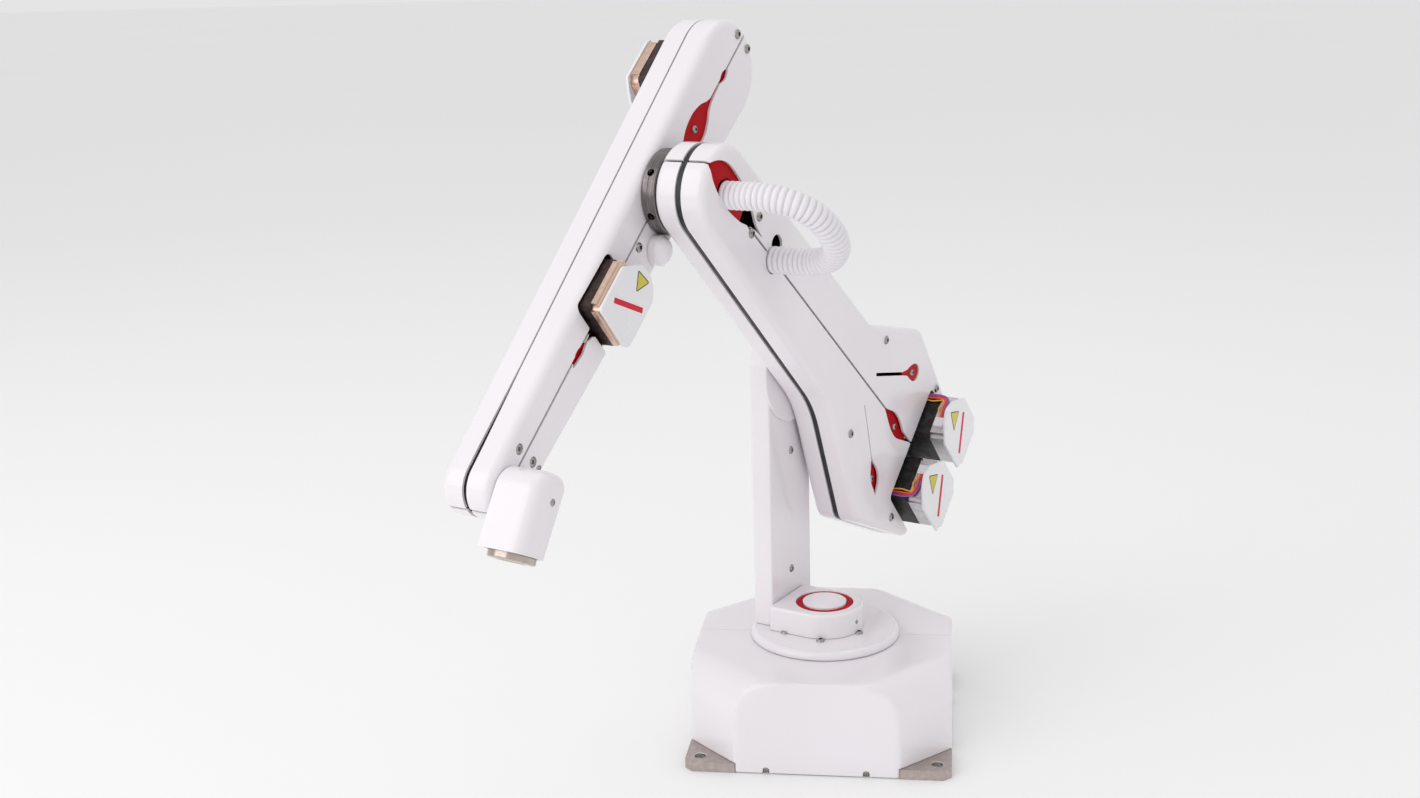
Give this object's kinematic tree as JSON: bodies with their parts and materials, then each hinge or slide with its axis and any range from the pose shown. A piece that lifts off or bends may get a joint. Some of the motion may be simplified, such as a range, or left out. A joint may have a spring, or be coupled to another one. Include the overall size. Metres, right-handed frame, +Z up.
{
  "type": "desktop robot arm",
  "caption": "Desktop robot arm: square bolted base with turntable, offset column, belt-driven upper arm and forearm, pitching wrist with a round tool flange.",
  "frame": {"origin": "centre of the underside of the base plate", "axes": "+Z up; -Y is the front of the base and +X its right; at rest the arm stands turned 23.7 degrees clockwise on its first axis, seen from above"},
  "size_m": [0.3306, 0.5446, 0.5509],
  "materials": {
    "base_metal": "ground, slightly warm steel",
    "white_shell": "glossy moulded white",
    "motor_cover": "glossy white cover with a red stripe",
    "motor_black": "satin black",
    "frame_black": "matt charcoal",
    "red_plastic": "deep red",
    "dark_steel": "turned dark steel",
    "bright_metal": "turned bright metal",
    "belt_rubber": "matt black rubber",
    "hose_white": "soft white ribbed plastic"
  },
  "bodies": {
    "base": {"base_plate": "base_metal", "base_cover_front": "white_shell", "base_cover_rear": "white_shell", "power_inlet": "motor_black", "base_motor": "motor_black", "base_belt": "belt_rubber", "turntable_bearing": "dark_steel"},
    "base_drive": {"base_motor_pulley": "bright_metal"},
    "turret": {"turntable_disc": "white_shell", "turntable_spindle": "bright_metal", "pedestal": "white_shell", "indicator_ring": "red_plastic", "indicator_cap": "white_shell", "column": "white_shell", "shoulder_hub": "white_shell"},
    "upper_arm": {"upper_arm_frame": "frame_black", "upper_arm_cover_left_front": "white_shell", "upper_arm_cover_left_rear": "white_shell", "upper_arm_cover_right_front": "white_shell", "upper_arm_cover_right_rear": "white_shell", "shoulder_bearing": "dark_steel", "elbow_bearing": "dark_steel", "shoulder_motor": "motor_black", "shoulder_motor_cover": "motor_cover", "elbow_motor": "motor_black", "elbow_motor_cover": "motor_cover", "belt_tensioner": "red_plastic", "shoulder_belt": "belt_rubber", "elbow_belt": "belt_rubber", "shoulder_input_belt": "belt_rubber", "elbow_input_belt": "belt_rubber", "hose": "hose_white"},
    "shoulder_drive": {"shoulder_motor_pulley": "bright_metal"},
    "shoulder_reduction": {"shoulder_idler": "red_plastic"},
    "elbow_drive": {"elbow_motor_pulley": "bright_metal"},
    "elbow_reduction": {"elbow_idler": "red_plastic"},
    "forearm": {"forearm_frame": "frame_black", "forearm_cover_left_front": "white_shell", "forearm_cover_left_rear": "white_shell", "forearm_cover_right_front": "white_shell", "forearm_cover_right_rear": "white_shell", "elbow_flange": "dark_steel", "elbow_pulley": "red_plastic", "pitch_motor": "motor_black", "pitch_motor_cover": "motor_cover", "roll_motor": "motor_black", "roll_motor_cover": "motor_cover", "pitch_belt": "belt_rubber", "roll_belt": "belt_rubber", "pitch_input_belt": "belt_rubber", "roll_input_belt": "belt_rubber", "forearm_cap": "white_shell"},
    "pitch_drive": {"pitch_motor_pulley": "bright_metal"},
    "pitch_reduction": {"pitch_idler": "red_plastic"},
    "roll_drive": {"roll_motor_pulley": "red_plastic"},
    "roll_reduction": {"roll_idler": "red_plastic"},
    "roll_shaft": {"roll_input_shaft": "bright_metal"},
    "wrist": {"wrist_housing": "white_shell", "wrist_pulley": "red_plastic"},
    "tool": {"tool_flange": "bright_metal"}
  },
  "joints": [
    {"name": "base_yaw", "type": "hinge", "parent": "base", "child": "turret", "pos_m": [0, 0, 0.074], "axis": [0, 0, 1], "range_deg": [-150, 150]},
    {"name": "base_drive_spin", "type": "hinge", "parent": "base", "child": "base_drive", "pos_m": [0, 0.062, 0.055], "axis": [0, 0, 1], "range_deg": [-740, 740]},
    {"name": "shoulder", "type": "hinge", "parent": "turret", "child": "upper_arm", "pos_m": [-0.02459, 0.02608, 0.285], "axis": [0.9157, -0.4019, 0], "range_deg": [-12, 25]},
    {"name": "shoulder_reduction_spin", "type": "hinge", "parent": "upper_arm", "child": "shoulder_reduction", "pos_m": [0.01916, 0.0735, 0.181], "axis": [0.9157, -0.4019, 0], "range_deg": [-63, 31]},
    {"name": "shoulder_drive_spin", "type": "hinge", "parent": "upper_arm", "child": "shoulder_drive", "pos_m": [0.04334, 0.13605, 0.153], "axis": [0.9157, -0.4019, 0], "range_deg": [-155, 75]},
    {"name": "elbow", "type": "hinge", "parent": "upper_arm", "child": "forearm", "pos_m": [-0.08718, -0.11899, 0.44], "axis": [0.9157, -0.4019, 0], "range_deg": [-80, 40]},
    {"name": "elbow_reduction_spin", "type": "hinge", "parent": "upper_arm", "child": "elbow_reduction", "pos_m": [0.03644, 0.11287, 0.214], "axis": [0.9157, -0.4019, 0], "range_deg": [-262, 132]},
    {"name": "elbow_drive_spin", "type": "hinge", "parent": "upper_arm", "child": "elbow_drive", "pos_m": [0.06062, 0.17543, 0.197], "axis": [0.9157, -0.4019, 0], "range_deg": [-642, 322]},
    {"name": "wrist_pitch", "type": "hinge", "parent": "forearm", "child": "wrist", "pos_m": [-0.1707, -0.28437, 0.28], "axis": [0.9157, -0.4019, 0], "range_deg": [-100, 100]},
    {"name": "pitch_reduction_spin", "type": "hinge", "parent": "forearm", "child": "pitch_reduction", "pos_m": [-0.15692, -0.20322, 0.34819], "axis": [0.9157, -0.4019, 0], "range_deg": [-176, 176]},
    {"name": "pitch_drive_spin", "type": "hinge", "parent": "forearm", "child": "pitch_drive", "pos_m": [-0.14678, -0.17267, 0.37687], "axis": [0.9157, -0.4019, 0], "range_deg": [-432, 432]},
    {"name": "tool_roll", "type": "hinge", "parent": "wrist", "child": "tool", "pos_m": [-0.15793, -0.29384, 0.28186], "axis": [-0.187, -0.4259, -0.8852], "range_deg": [-175, 175]},
    {"name": "roll_shaft_spin", "type": "hinge", "parent": "forearm", "child": "roll_shaft", "pos_m": [-0.18718, -0.27714, 0.28], "axis": [0.9157, -0.4019, 0], "range_deg": [-176, 176]},
    {"name": "roll_reduction_spin", "type": "hinge", "parent": "forearm", "child": "roll_reduction", "pos_m": [-0.09976, -0.07301, 0.46963], "axis": [0.9157, -0.4019, 0], "range_deg": [-264, 264]},
    {"name": "roll_drive_spin", "type": "hinge", "parent": "forearm", "child": "roll_drive", "pos_m": [-0.08112, -0.03552, 0.50535], "axis": [0.9157, -0.4019, 0], "range_deg": [-567, 567]}
  ],
  "couplings": [
    {"joint": "base_drive_spin", "follows": "base_yaw", "ratio": 4.9231},
    {"joint": "shoulder_reduction_spin", "follows": "shoulder", "ratio": -2.5},
    {"joint": "shoulder_drive_spin", "follows": "shoulder", "ratio": -6.1539},
    {"joint": "elbow_reduction_spin", "follows": "elbow", "ratio": 3.25},
    {"joint": "elbow_drive_spin", "follows": "elbow", "ratio": 8},
    {"joint": "pitch_reduction_spin", "follows": "wrist_pitch", "ratio": 1.75},
    {"joint": "pitch_drive_spin", "follows": "wrist_pitch", "ratio": 4.3077},
    {"joint": "roll_shaft_spin", "follows": "tool_roll", "ratio": 1},
    {"joint": "roll_reduction_spin", "follows": "tool_roll", "ratio": 1.5},
    {"joint": "roll_drive_spin", "follows": "tool_roll", "ratio": 3.2308}
  ]
}
